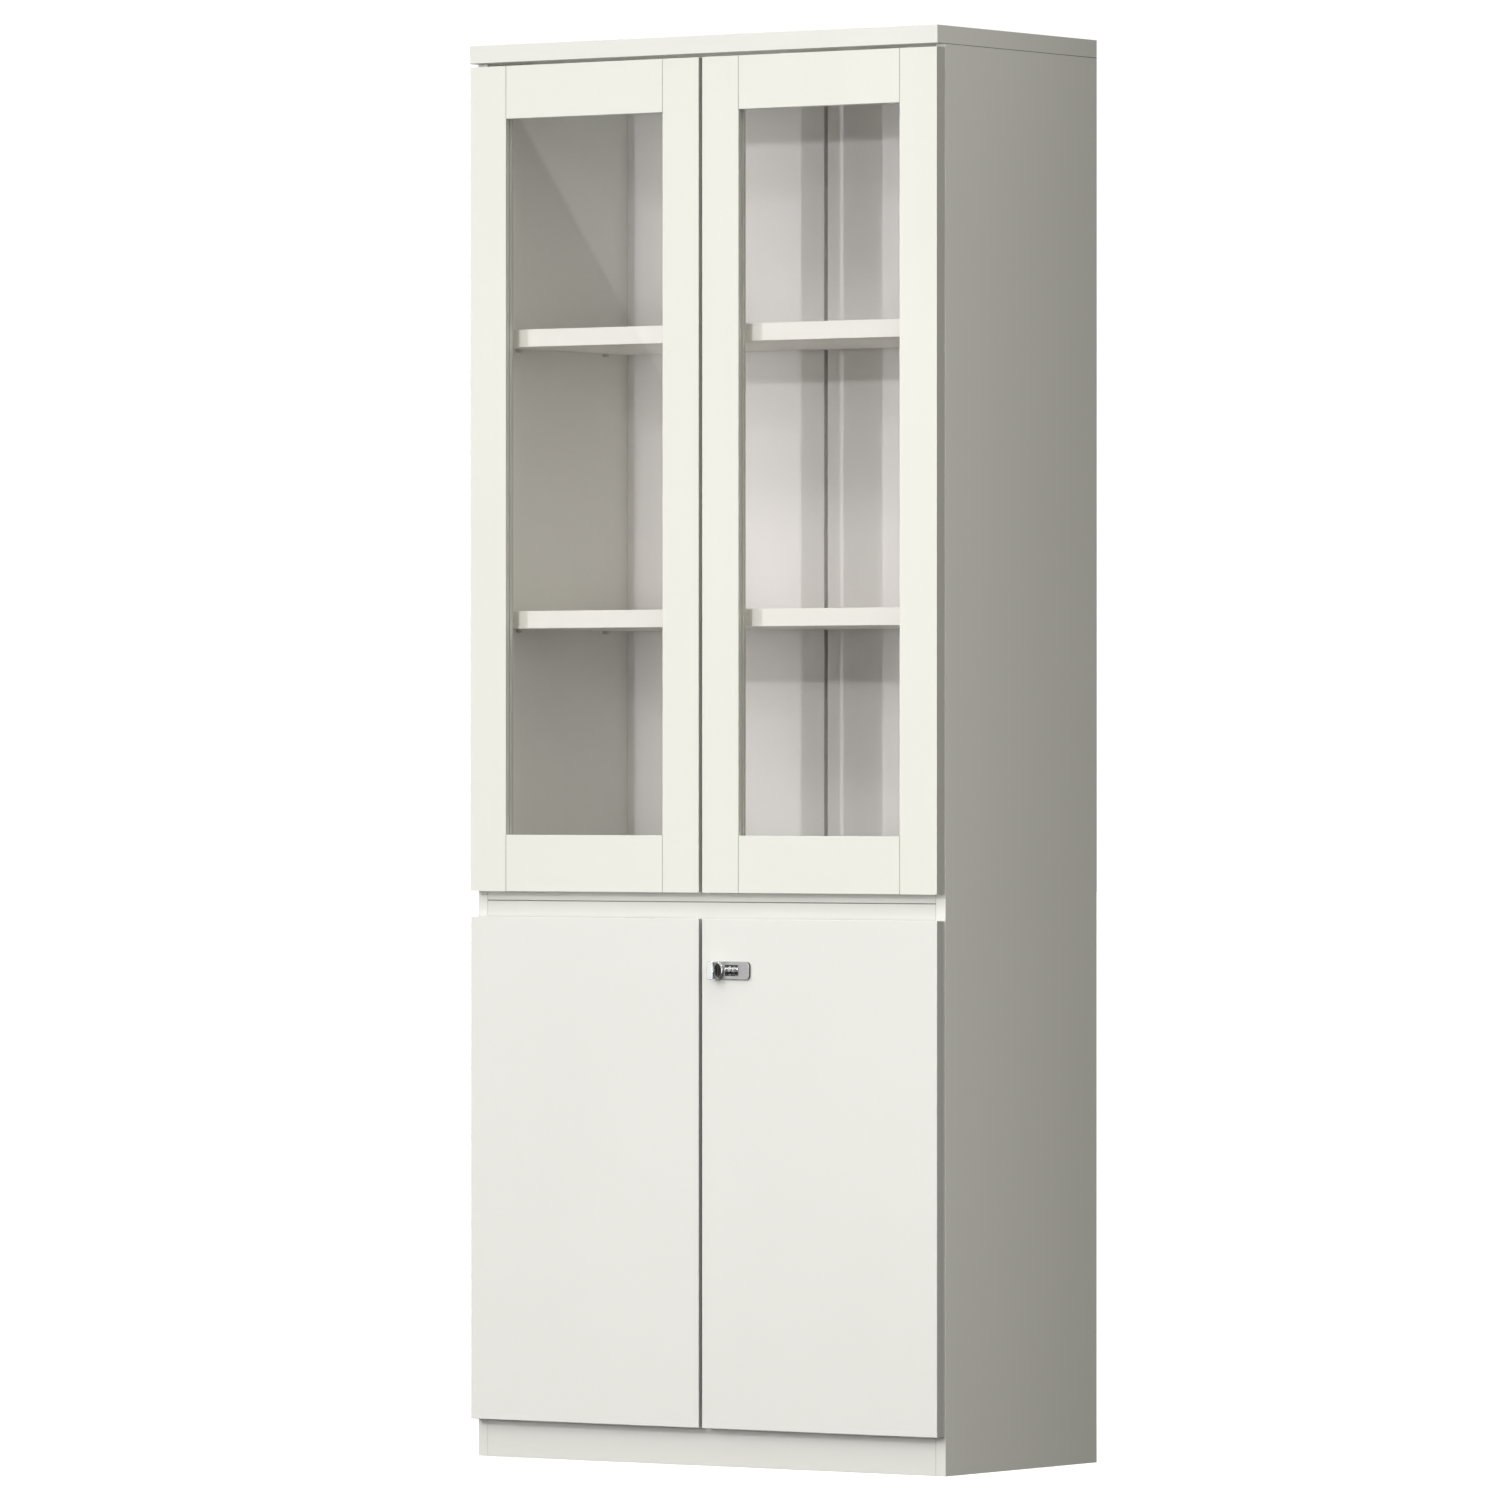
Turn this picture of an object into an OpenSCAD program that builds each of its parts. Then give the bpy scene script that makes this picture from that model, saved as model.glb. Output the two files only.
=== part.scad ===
// Two-part office bookcase: glass doors above, solid doors below.
// Millimetres. +Z is up, the doors face -Y, and the origin is on the floor
// at the centre of the whole box, which the lock's knob makes deeper.

/* [Cabinet] */
// Overall width across the side panels
width = 800; // [700:1:900]
// Overall depth, from the door fronts to the rear edges of the side panels
depth = 400; // [360:1:450]
// Overall height, from the floor to the top of the top panel
height = 2000; // [1950:1:2100]
// Thickness of the side panels, plinth, rail and back boards
board = 16; // [16:1:19]
// Thickness of the top panel and of every shelf
thick_board = 25; // [22:1:28]
// Gap behind the back boards, which clears a skirting board
back_inset = 23; // [18:1:30]
// Height of the plinth under the bottom panel
plinth_h = 60; // [56:1:80]

/* [Heights] */
// Underside of the fixed middle shelf, where it meets the middle rail
middle_z = 789; // [780:1:800]
// Height of the middle rail under that shelf
rail_h = 54; // [50:1:60]
// Underside of the higher glass-fronted shelf
high_shelf_z = 1573; // [1500:1:1640]
// Underside of the lower glass-fronted shelf
low_shelf_z = 1174; // [1100:1:1300]
// Underside of the shelf behind the solid doors
cupboard_shelf_z = 400; // [300:1:500]
// Bottom edge of the solid doors
lower_door_z = 54; // [50:1:56]
// Top edge of the solid doors, under the finger channel
channel_z = 766; // [760:1:775]
// Clear height of the finger channel
channel_h = 36; // [30:1:38]
// Gap between the glass doors and the top panel
top_gap = 5; // [3:1:8]

/* [Doors] */
// Thickness of each door
door_t = 18; // [18:1:20]
// Gap between a closed door and the cabinet's front edges
door_gap = 2; // [2:0.5:3]
// How far each door stops short of the cabinet's side
reveal = 1; // [1:0.5:2]
// Gap between the two doors of a pair
centre_gap = 6; // [3:1:8]
// Width of a glass door's stiles
stile_w = 62; // [56:1:75]
// Height of a glass door's top rail
top_rail_h = 75; // [60:1:90]
// Height of a glass door's bottom rail
bottom_rail_h = 80; // [60:1:95]
// Depth from the door's front to its glass
glass_in = 8; // [6:1:9]
// Thickness of the glass
glass_t = 4; // [3:1:5]
// How far the rebate for the glass reaches into the frame
rebate = 10; // [8:1:12]

/* [Lock] */
// Distance of the lock's spindle from the cabinet's centre plane
lock_x = 30; // [28:0.5:40]
// Height of the lock's spindle
lock_z = 694; // [688:1:700]
// Width of the lock's face plate
plate_w = 66; // [64:1:80]
// Height of the lock's face plate
plate_h = 25; // [24:1:32]
// Diameter of the lock's knob
knob_d = 26; // [24:0.5:27]
// How far the knob stands out in front of the doors
knob_reach = 20; // [16:1:24]

/* [Hidden] */
$fn = 64;

// Cabinet planes
front_y = (knob_reach - depth) / 2;
rear_y = front_y + depth;
carcass_y = front_y + door_t + door_gap;
side_x = width / 2;
inner_x = side_x - board;
side_top = height - thick_board;
back_y = rear_y - back_inset - board;
bottom_z = plinth_h;
rail_z = middle_z - rail_h;

// Back boards: the joint stands a little left of the middle
seam_x = -36;
seam_w = 6;
batten_w = 70;
wall_rail_h = 100;
wall_hole_x = 300;
wall_hole_r = 3;

// Shelves
shelf_play = 0.5;
shelf_front_y = carcass_y + 14;
cupboard_shelf_front_y = carcass_y + 34;
shelf_rear_y = back_y - 3;
shelf_zs = [high_shelf_z, low_shelf_z, cupboard_shelf_z];
pin_r = 2.5;
pin_hole_r = 2.55;
pin_in = 9;
pin_out = 8;
pin_ys = [carcass_y + 70, back_y - 60];

// Cam joints that hold the boards to the side panels
disc_r = 7.5;
disc_h = 12.5;
disc_in = 24;
bolt_r = 3;
bolt_up = board / 2;
bolt_embed = 11;
cam_ys = [carcass_y + 45, back_y - 45];
fit = 0.1;

// Doors
door_x0 = -side_x + reveal;
door_x1 = -centre_gap / 2;
door_back_y = front_y + door_t;
upper_door_z = channel_z + channel_h;
upper_door_top = side_top - top_gap;
open_x0 = door_x0 + stile_w;
open_x1 = door_x1 - stile_w;
open_z0 = upper_door_z + bottom_rail_h;
open_z1 = upper_door_top - top_rail_h;
glass_play = 1;
bumper_r = 4;
bumper_t = 1.7;
bumper_x = 30;

// Hinges, measured from the pin's axis: X along the door, Y rearwards
hinge_from_end = 100;
upper_hinge_zs = [
    upper_door_z + hinge_from_end,
    (upper_door_z + upper_door_top) / 2,
    upper_door_top - hinge_from_end
];
lower_hinge_zs = [lower_door_z + hinge_from_end, channel_z - hinge_from_end];
pivot_in = 6;
pivot_depth = 8;
hinge_x = door_x0 + pivot_in;
hinge_y = front_y + pivot_depth;
door_back = door_t - pivot_depth;
cup_r = 17.5;
cup_wall = 0.6;
cup_depth = 13;
cup_x = 3 + cup_r - pivot_in;
cup_floor = door_back - cup_depth;
flange_t = 1;
flange_lip = 0.7;
ear_x = cup_x + 9.5;
ear_w = 12;
ear_z = 24;
ear_half_h = 29;
pin_axis_r = 1.25;
eye_bore_r = 1.3;
eye_r = 2;
eye_half_h = 3;
strip_t = 1.2;
arm_half_h = 7;
arm_wide_y = door_back + 10;
arm_end_y = 60;
wall_x = -inner_x - hinge_x;
mount_t = 4.5;
arm_x = wall_x + mount_t;
plate_y0 = 34;
plate_y1 = 62;
plate_half_h = 8;
wing_t = 1.5;
wing_half_h = 24;
wing_half_w = 8;
system_hole_y = 37 + door_t + door_gap - pivot_depth;
system_hole_z = 16;
screw_r = 1.7;
screw_head_r = 3.4;
screw_head_h = 1.4;
screw_len = 10;

// Lock, measured from the spindle's axis at the door's front
plate_t = 4;
plate_corner = 6;
plate_left = 10;
skin_t = 1.2;
window_x0 = 14.5;
window_x1 = 37.5;
window_half_h = 7.4;
housing_wall = 2;
housing_half_h = 10.8;
housing_depth = 15;
cavity_half_h = 9.6;
cavity_depth = 13.9;
wheel_r = 9;
wheel_y = 4.5;
wheel_w = 7.2;
wheel_gap = 0.35;
wheel_bore_r = 1.55;
axle_r = 1.5;
wheel_faces = 10;
notch_r = 0.6;
boss_r = 8.5;
boss_end = 21.5;
spindle_r = 4;
spindle_bore_r = 4.05;
spindle_end = 22;
square_w = 5.6;
knob_gap = 0.3;
knob_base_t = 3.2;
knob_grip_w = 10;
knob_grip_t = knob_reach - plate_t - knob_gap - knob_base_t;
nut_r = 13;
cam_t = 2;
cam_hub_r = 9;
cam_w = 14;
cam_step_x = 28;
cam_len = 56;
cam_rear_y = door_t + door_gap + board + 1;
cam_screw_r = 1.9;
cam_screw_head_r = 5;
cam_screw_head_h = 2;

// Bolt inside the left solid door
bolt_x = -30;
bolt_y = carcass_y + board / 2;
bar_r = 3.5;
bar_bore_r = 3.55;
bar_hole_r = 4;
bar_hole_depth = 22;
bar_z0 = 662;
bar_z1 = rail_z - 4;
bar_handle_z = 686;
bar_handle_r = 2.5;
bar_handle_y = 14;
saddle_zs = [666, 714];
saddle_h = 8;
saddle_w = 14;
base_w = 20;
base_t = 2;
base_z = 664;
base_h = 60;

// Colours
board_white = [0.93, 0.93, 0.91];
steel = [0.72, 0.72, 0.71];
bright = [0.86, 0.86, 0.85];

// A block from one corner to the other, each axis given as [low, high]
module block(x, y, z) {
    translate([x[0], y[0], z[0]])
        cube([x[1] - x[0], y[1] - y[0], z[1] - z[0]]);
}

// A cylinder along +X or +Y from the place it stands at
module rod_x(r, h) {
    rotate([0, 90, 0])
        cylinder(r = r, h = h);
}

module rod_y(r, h) {
    rotate([-90, 0, 0])
        cylinder(r = r, h = h);
}

module right_hand() {
    mirror([1, 0, 0])
        children();
}

module both_hands() {
    children();
    right_hand()
        children();
}

// ---- Cam joints: +X runs into the held board, +Z up from the disc's face
module at_cam_joints() {
    for (y = cam_ys) {
        for (z = [middle_z, bottom_z])
            translate([-inner_x, y, z])
                children();
        translate([-inner_x, y, side_top])
            rotate([0, 90, 0])
                mirror([0, 0, 1])
                    children();
    }
}

module cam_disc() {
    difference() {
        translate([disc_in, 0, 0])
            cylinder(r = disc_r, h = disc_h);
        for (turn = [45, 135])
            translate([disc_in, 0, 0])
                rotate([0, 0, turn])
                    cube([disc_r * 1.3, 1.4, 3], center = true);
    }
}

module cam_bolt() {
    translate([-bolt_embed, 0, bolt_up])
        rod_x(bolt_r, bolt_embed + disc_in - disc_r - fit);
}

module cam_cuts() {
    both_hands()
        at_cam_joints() {
            translate([disc_in, 0, -1])
                cylinder(r = disc_r + fit, h = disc_h + fit + 1);
            translate([-bolt_embed - fit, 0, bolt_up])
                rod_x(bolt_r + fit, bolt_embed + disc_in);
        }
}

// ---- Carcass
module at_shelf_pins(x) {
    for (z = shelf_zs)
        for (y = pin_ys)
            translate([x, y, z - pin_r])
                children();
}

module at_hinges(zs) {
    for (z = zs)
        translate([hinge_x, hinge_y, z])
            children();
}

module side_panel() {
    color(board_white)
        difference() {
            block([-side_x, -inner_x], [carcass_y, rear_y], [0, side_top]);
            cam_cuts();
            at_shelf_pins(-inner_x - pin_in - fit)
                rod_x(pin_hole_r, pin_in + 1);
            at_hinges(concat(upper_hinge_zs, lower_hinge_zs))
                for (side = [-1, 1])
                    translate([wall_x - screw_len, system_hole_y, side * system_hole_z])
                        rod_x(screw_r, screw_len + 1);
        }
}

module top_panel() {
    color(board_white)
        difference() {
            block([-side_x, side_x], [front_y, rear_y], [side_top, height]);
            cam_cuts();
        }
}

module fixed_board(z, t, y0) {
    color(board_white)
        difference() {
            block([-inner_x, inner_x], [y0, back_y], [z, z + t]);
            cam_cuts();
        }
}

module middle_rail() {
    color(board_white)
        difference() {
            block([-inner_x, inner_x], [carcass_y, carcass_y + board], [rail_z, middle_z]);
            translate([bolt_x, bolt_y, rail_z - 1])
                cylinder(r = bar_hole_r, h = bar_hole_depth + 1);
        }
}

module plinth_board(y) {
    color(board_white)
        block([-inner_x, inner_x], [y, y + board], [0, plinth_h]);
}

module wall_holes() {
    for (x = [-wall_hole_x, wall_hole_x])
        translate([x, back_y - 1, side_top - wall_rail_h / 2])
            rod_y(wall_hole_r, board + back_inset + 2);
}

module back_board(x0, x1) {
    color(board_white)
        difference() {
            block([x0, x1], [back_y, back_y + board], [0, side_top]);
            wall_holes();
        }
}

module back_batten() {
    color(board_white)
        block([seam_x - batten_w / 2, seam_x + batten_w / 2],
              [back_y + board, back_y + board * 2],
              [0, side_top - wall_rail_h]);
}

module wall_rail() {
    color(board_white)
        difference() {
            block([-inner_x, inner_x], [back_y + board, rear_y],
                  [side_top - wall_rail_h, side_top]);
            wall_holes();
        }
}

module loose_shelf(z, y0) {
    color(board_white)
        block([-inner_x + shelf_play, inner_x - shelf_play], [y0, shelf_rear_y],
              [z, z + thick_board]);
}

module shelf_pins() {
    color(bright)
        both_hands()
            at_shelf_pins(-inner_x - pin_in)
                rod_x(pin_r, pin_in + pin_out);
}

module cam_discs() {
    color(steel)
        both_hands()
            at_cam_joints()
                cam_disc();
}

module cam_bolts() {
    color(steel)
        both_hands()
            at_cam_joints()
                cam_bolt();
}

module door_bumpers() {
    color([0.85, 0.85, 0.84])
        both_hands()
            for (z = [upper_door_z + 6, rail_z + 15, bottom_z + 8])
                translate([-bumper_x, carcass_y - bumper_t, z])
                    rod_y(bumper_r, bumper_t);
}

// ---- Hinges
module hinge_plate() {
    difference() {
        union() {
            block([wall_x, arm_x], [plate_y0, plate_y1], [-plate_half_h, plate_half_h]);
            block([wall_x, wall_x + wing_t],
                  [system_hole_y - wing_half_w, system_hole_y + wing_half_w],
                  [-wing_half_h, wing_half_h]);
        }
        for (side = [-1, 1])
            translate([wall_x - 1, system_hole_y, side * system_hole_z])
                rod_x(screw_r, wing_t + 2);
    }
}

module hinge_plates() {
    color(steel)
        at_hinges(concat(upper_hinge_zs, lower_hinge_zs))
            hinge_plate();
}

module hinge_plate_screws() {
    color(bright)
        both_hands()
            at_hinges(concat(upper_hinge_zs, lower_hinge_zs))
                for (side = [-1, 1])
                    translate([wall_x - screw_len, system_hole_y, side * system_hole_z]) {
                        rod_x(screw_r, screw_len + wing_t);
                        translate([screw_len + wing_t, 0, 0])
                            rod_x(screw_head_r, screw_head_h);
                    }
}

module hinge_arm() {
    difference() {
        union() {
            translate([0, 0, -eye_half_h])
                cylinder(r = eye_r, h = 2 * eye_half_h);
            block([0, arm_x + strip_t], [-strip_t / 2, strip_t / 2], [-eye_half_h, eye_half_h]);
            block([arm_x, arm_x + strip_t], [-strip_t / 2, arm_wide_y], [-eye_half_h, eye_half_h]);
            block([arm_x, arm_x + strip_t], [arm_wide_y, arm_end_y], [-arm_half_h, arm_half_h]);
        }
        translate([0, 0, -eye_half_h - 1])
            cylinder(r = eye_bore_r, h = 2 * eye_half_h + 2);
    }
}

module hinge_arms(zs) {
    color(steel)
        at_hinges(zs)
            hinge_arm();
}

module hinge_cup() {
    difference() {
        union() {
            translate([cup_x, cup_floor, 0])
                rod_y(cup_r, cup_depth);
            translate([cup_x, door_back, 0])
                rod_y(cup_r + flange_lip, flange_t);
            block([ear_x - ear_w / 2, ear_x + ear_w / 2], [door_back, door_back + flange_t],
                  [-ear_half_h, ear_half_h]);
        }
        translate([cup_x, cup_floor + cup_wall, 0])
            rod_y(cup_r - cup_wall, cup_depth + flange_t);
        for (side = [-1, 1])
            translate([ear_x, door_back - 1, side * ear_z])
                rod_y(screw_r, flange_t + 2);
    }
    intersection() {
        translate([0, 0, -cup_r])
            cylinder(r = pin_axis_r, h = 2 * cup_r);
        translate([cup_x, cup_floor, 0])
            rod_y(cup_r, cup_depth);
    }
}

module hinge_cups(zs) {
    color(steel)
        at_hinges(zs)
            hinge_cup();
}

module cup_screws(zs) {
    color(bright)
        at_hinges(zs)
            for (side = [-1, 1])
                translate([ear_x, door_back - screw_len, side * ear_z]) {
                    rod_y(screw_r, screw_len + flange_t);
                    translate([0, screw_len + flange_t, 0])
                        rod_y(screw_head_r, screw_head_h);
                }
}

module hinge_cuts(zs) {
    at_hinges(zs) {
        translate([cup_x, cup_floor, 0])
            rod_y(cup_r, cup_depth + 1);
        for (side = [-1, 1])
            translate([ear_x, door_back - screw_len, side * ear_z])
                rod_y(screw_r, screw_len + 1);
    }
}

// ---- Glass doors, drawn as the left one
module glass_recess(y0) {
    block([open_x0 - rebate, open_x1 + rebate], [y0, door_back_y + 1],
          [open_z0 - rebate, open_z1 + rebate]);
}

module frame_member(x, z) {
    color(board_white)
        difference() {
            block(x, [front_y, door_back_y], z);
            glass_recess(front_y + glass_in);
            hinge_cuts(upper_hinge_zs);
        }
}

module outer_stile() {
    frame_member([door_x0, open_x0], [upper_door_z, upper_door_top]);
}

module inner_stile() {
    frame_member([open_x1, door_x1], [upper_door_z, upper_door_top]);
}

module top_rail() {
    frame_member([open_x0, open_x1], [open_z1, upper_door_top]);
}

module bottom_rail() {
    frame_member([open_x0, open_x1], [upper_door_z, open_z0]);
}

module pane() {
    over = rebate - glass_play;
    color([0.80, 0.86, 0.84, 0.35])
        block([open_x0 - over, open_x1 + over],
              [front_y + glass_in, front_y + glass_in + glass_t],
              [open_z0 - over, open_z1 + over]);
}

module glazing_beads() {
    y = [front_y + glass_in + glass_t, door_back_y];
    color(board_white) {
        block([open_x0 - rebate, open_x0], y, [open_z0 - rebate, open_z1 + rebate]);
        block([open_x1, open_x1 + rebate], y, [open_z0 - rebate, open_z1 + rebate]);
        block([open_x0, open_x1], y, [open_z0 - rebate, open_z0]);
        block([open_x0, open_x1], y, [open_z1, open_z1 + rebate]);
    }
}

// ---- Solid doors
module door_slab() {
    difference() {
        block([door_x0, door_x1], [front_y, door_back_y], [lower_door_z, channel_z]);
        hinge_cuts(lower_hinge_zs);
    }
}

module lower_left_panel() {
    color(board_white)
        door_slab();
}

module lower_right_panel() {
    color(board_white)
        difference() {
            right_hand()
                door_slab();
            at_lock() {
                translate([0, -1, 0])
                    rod_y(boss_r + fit, door_t + 2);
                block([window_x0 - housing_wall - fit, window_x1 + housing_wall + fit],
                      [-1, housing_depth + fit],
                      [-housing_half_h - fit, housing_half_h + fit]);
            }
        }
}

// ---- Bolt of the left solid door
module bolt_body() {
    color(steel)
        difference() {
            union() {
                block([bolt_x - base_w / 2, bolt_x + base_w / 2],
                      [door_back_y, door_back_y + base_t], [base_z, base_z + base_h]);
                for (z = saddle_zs)
                    block([bolt_x - saddle_w / 2, bolt_x + saddle_w / 2],
                          [door_back_y, bolt_y + saddle_w / 2 - 1], [z, z + saddle_h]);
            }
            translate([bolt_x, bolt_y, base_z])
                cylinder(r = bar_bore_r, h = base_h);
        }
}

module bolt_bar() {
    color(bright) {
        translate([bolt_x, bolt_y, bar_z0])
            cylinder(r = bar_r, h = bar_z1 - bar_z0);
        translate([bolt_x, bolt_y, bar_handle_z])
            rod_y(bar_handle_r, bar_handle_y);
    }
}

// ---- Combination lock of the right solid door
module at_lock() {
    translate([lock_x, front_y, lock_z])
        children();
}

module rounded_plate(w, h, r, t) {
    rotate([90, 0, 0])
        linear_extrude(t) {
            translate([r, -h / 2])
                square([w - 2 * r, h]);
            translate([0, -h / 2 + r])
                square([w, h - 2 * r]);
            for (x = [r, w - r])
                for (y = [-h / 2 + r, h / 2 - r])
                    translate([x, y])
                        circle(r = r);
        }
}

module lock_body() {
    color(steel)
        at_lock()
            difference() {
                union() {
                    translate([-plate_left, 0, 0])
                        rounded_plate(plate_w, plate_h, plate_corner, plate_t);
                    block([window_x0 - housing_wall, window_x1 + housing_wall],
                          [0, housing_depth], [-housing_half_h, housing_half_h]);
                    rod_y(boss_r, boss_end);
                }
                block([window_x0, window_x1], [skin_t - plate_t, cavity_depth],
                      [-cavity_half_h, cavity_half_h]);
                block([window_x0, window_x1], [-plate_t - 1, 0],
                      [-window_half_h, window_half_h]);
                translate([window_x0 - housing_wall, wheel_y, 0])
                    rod_x(axle_r, window_x1 - window_x0 + 2 * housing_wall);
                translate([0, -plate_t - 1, 0])
                    rod_y(spindle_bore_r, plate_t + boss_end + 2);
            }
}

module lock_nut() {
    color(steel)
        at_lock()
            translate([0, door_t, 0])
                difference() {
                    rotate([-90, 0, 0])
                        cylinder(r = nut_r, h = boss_end - door_t, $fn = 6);
                    translate([0, -1, 0])
                        rod_y(boss_r, boss_end);
                }
}

module wheel_axle() {
    color(bright)
        at_lock()
            translate([window_x0 - housing_wall, wheel_y, 0])
                rod_x(axle_r, window_x1 - window_x0 + 2 * housing_wall);
}

module number_wheel(place) {
    x0 = window_x0 + wheel_gap + place * (wheel_w + wheel_gap);
    color(bright)
        at_lock()
            translate([x0, wheel_y, 0])
                difference() {
                    rod_x(wheel_r, wheel_w);
                    translate([-1, 0, 0])
                        rod_x(wheel_bore_r, wheel_w + 2);
                    for (face = [0 : wheel_faces - 1])
                        rotate([(face + 0.5) * 360 / wheel_faces, 0, 0])
                            translate([-1, 0, wheel_r + notch_r / 3])
                                rod_x(notch_r, wheel_w + 2);
                }
}

module lock_knob() {
    knob_back = -plate_t - knob_gap;
    color(bright)
        at_lock()
            difference() {
                union() {
                    translate([0, knob_back - knob_base_t, 0])
                        rod_y(knob_d / 2, knob_base_t);
                    intersection() {
                        translate([0, knob_back - knob_base_t - knob_grip_t, 0])
                            rod_y(knob_d / 2, knob_grip_t + knob_base_t);
                        block([-knob_grip_w / 2, knob_grip_w / 2], [-knob_reach - 1, knob_back],
                              [-knob_d / 2, knob_d / 2]);
                    }
                    translate([0, knob_back - 1, 0])
                        rod_y(spindle_r, spindle_end - knob_back + 1);
                    block([-square_w / 2, square_w / 2], [spindle_end - 1, spindle_end + cam_t],
                          [-square_w / 2, square_w / 2]);
                }
                translate([0, spindle_end + cam_t - screw_len, 0])
                    rod_y(cam_screw_r, screw_len + 1);
            }
}

module lock_cam() {
    hole_w = square_w + fit;
    color(steel)
        at_lock()
            difference() {
                union() {
                    translate([0, spindle_end, 0])
                        rod_y(cam_hub_r, cam_t);
                    block([0, cam_step_x + cam_t], [spindle_end, spindle_end + cam_t],
                          [-cam_w / 2, cam_w / 2]);
                    block([cam_step_x, cam_step_x + cam_t], [spindle_end, cam_rear_y + cam_t],
                          [-cam_w / 2, cam_w / 2]);
                    block([cam_step_x, cam_len], [cam_rear_y, cam_rear_y + cam_t],
                          [-cam_w / 2, cam_w / 2]);
                }
                block([-hole_w / 2, hole_w / 2], [spindle_end - 1, spindle_end + cam_t + 1],
                      [-hole_w / 2, hole_w / 2]);
            }
}

module cam_screw() {
    color(bright)
        at_lock()
            translate([0, spindle_end + cam_t - screw_len, 0]) {
                rod_y(cam_screw_r, screw_len);
                translate([0, screw_len, 0])
                    rod_y(cam_screw_head_r, cam_screw_head_h);
            }
}

side_panel();  // side_left
right_hand() side_panel();  // side_right
top_panel();
fixed_board(middle_z, thick_board, carcass_y);  // middle_shelf
middle_rail();
fixed_board(bottom_z, board, carcass_y);  // bottom_panel
plinth_board(carcass_y);  // plinth_front
plinth_board(back_y - board);  // plinth_rear
back_board(-inner_x, seam_x - seam_w / 2);  // back_board_left
back_board(seam_x + seam_w / 2, inner_x);  // back_board_right
back_batten();
wall_rail();
loose_shelf(high_shelf_z, shelf_front_y);  // high_shelf
loose_shelf(low_shelf_z, shelf_front_y);  // low_shelf
loose_shelf(cupboard_shelf_z, cupboard_shelf_front_y);  // cupboard_shelf
shelf_pins();
cam_discs();
cam_bolts();
door_bumpers();
hinge_plates();  // hinge_plates_left
right_hand() hinge_plates();  // hinge_plates_right
hinge_plate_screws();
hinge_arms(upper_hinge_zs);  // hinge_arms_upper_left
right_hand() hinge_arms(upper_hinge_zs);  // hinge_arms_upper_right
hinge_arms(lower_hinge_zs);  // hinge_arms_lower_left
right_hand() hinge_arms(lower_hinge_zs);  // hinge_arms_lower_right
outer_stile();  // upper_left_outer_stile
inner_stile();  // upper_left_inner_stile
top_rail();  // upper_left_top_rail
bottom_rail();  // upper_left_bottom_rail
pane();  // upper_left_glass
glazing_beads();  // upper_left_glazing_beads
hinge_cups(upper_hinge_zs);  // upper_left_hinge_cups
cup_screws(upper_hinge_zs);  // upper_left_cup_screws
right_hand() outer_stile();  // upper_right_outer_stile
right_hand() inner_stile();  // upper_right_inner_stile
right_hand() top_rail();  // upper_right_top_rail
right_hand() bottom_rail();  // upper_right_bottom_rail
right_hand() pane();  // upper_right_glass
right_hand() glazing_beads();  // upper_right_glazing_beads
right_hand() hinge_cups(upper_hinge_zs);  // upper_right_hinge_cups
right_hand() cup_screws(upper_hinge_zs);  // upper_right_cup_screws
lower_left_panel();
hinge_cups(lower_hinge_zs);  // lower_left_hinge_cups
cup_screws(lower_hinge_zs);  // lower_left_cup_screws
lower_right_panel();
right_hand() hinge_cups(lower_hinge_zs);  // lower_right_hinge_cups
right_hand() cup_screws(lower_hinge_zs);  // lower_right_cup_screws
bolt_body();
bolt_bar();
lock_body();
lock_nut();
wheel_axle();
number_wheel(0);  // number_wheel_1
number_wheel(1);  // number_wheel_2
number_wheel(2);  // number_wheel_3
lock_knob();
lock_cam();
cam_screw();
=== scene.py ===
"""Looks of the white office bookcase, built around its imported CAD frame. Metres; the doors face -Y."""

import math

import bpy
import bmesh
from mathutils import Matrix, Vector


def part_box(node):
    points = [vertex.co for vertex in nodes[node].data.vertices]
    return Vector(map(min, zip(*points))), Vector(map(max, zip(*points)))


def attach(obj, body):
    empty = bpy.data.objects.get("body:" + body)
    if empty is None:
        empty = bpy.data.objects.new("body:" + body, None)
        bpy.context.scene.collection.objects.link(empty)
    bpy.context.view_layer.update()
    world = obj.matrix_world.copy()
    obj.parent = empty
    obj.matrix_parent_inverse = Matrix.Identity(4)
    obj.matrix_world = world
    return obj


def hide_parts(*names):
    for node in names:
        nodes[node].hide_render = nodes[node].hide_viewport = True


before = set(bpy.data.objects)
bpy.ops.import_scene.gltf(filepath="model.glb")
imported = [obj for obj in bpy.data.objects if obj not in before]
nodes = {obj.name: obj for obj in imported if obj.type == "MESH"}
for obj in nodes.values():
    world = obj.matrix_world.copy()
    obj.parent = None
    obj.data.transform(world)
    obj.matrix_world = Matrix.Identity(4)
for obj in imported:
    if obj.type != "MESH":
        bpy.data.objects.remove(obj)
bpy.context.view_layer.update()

MM = 0.001
SAME_POINT = 0.01 * MM  # vertices closer than this are one
HANDS = ("left", "right")
ROWS = ("upper", "lower")
FRONT_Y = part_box("lower_left_panel")[0].y  # the door fronts' plane
SCENE = bpy.context.scene

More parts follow.
